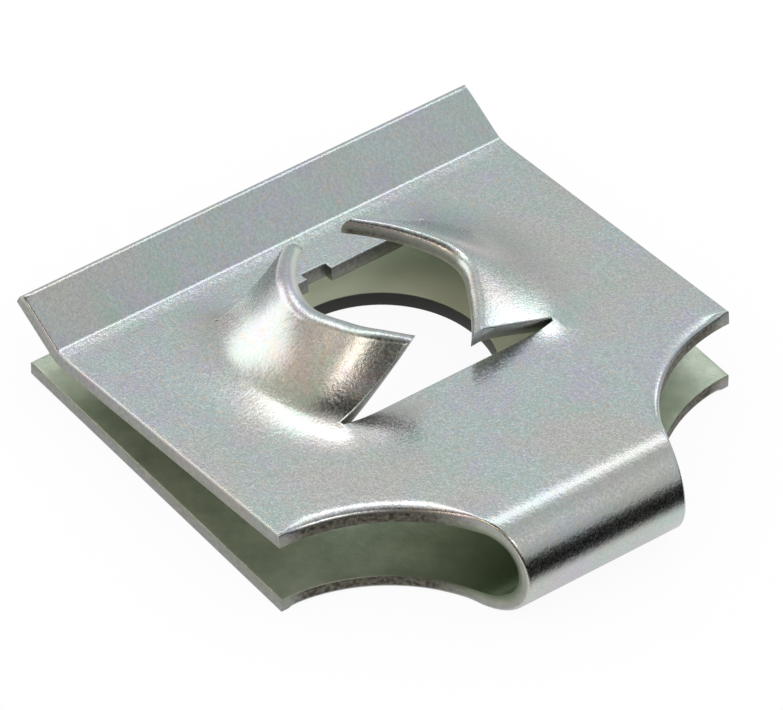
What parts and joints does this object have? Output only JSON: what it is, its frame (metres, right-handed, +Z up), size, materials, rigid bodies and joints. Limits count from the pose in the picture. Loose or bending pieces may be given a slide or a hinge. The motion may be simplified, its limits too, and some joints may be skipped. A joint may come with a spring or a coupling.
{
  "type": "u clip nut",
  "caption": "Spring steel clip nut folded into a U, with a clearance hole in the lower leaf, pressed thread prongs in the upper leaf and a flared lead-in lip.",
  "frame": {"origin": "centre of the screw clearance hole, on the underside of the lower leaf", "axes": "+X from the mouth towards the fold, +Y across the strip, +Z up the screw axis towards the thread prongs"},
  "size_m": [0.0176, 0.016, 0.0045],
  "materials": {
    "zinc_plated_steel": "bright zinc plating on spring steel, satin with a faint lilac and green passivation tint"
  },
  "bodies": {
    "root": {"clip_nut": "zinc_plated_steel"}
  },
  "joints": []
}
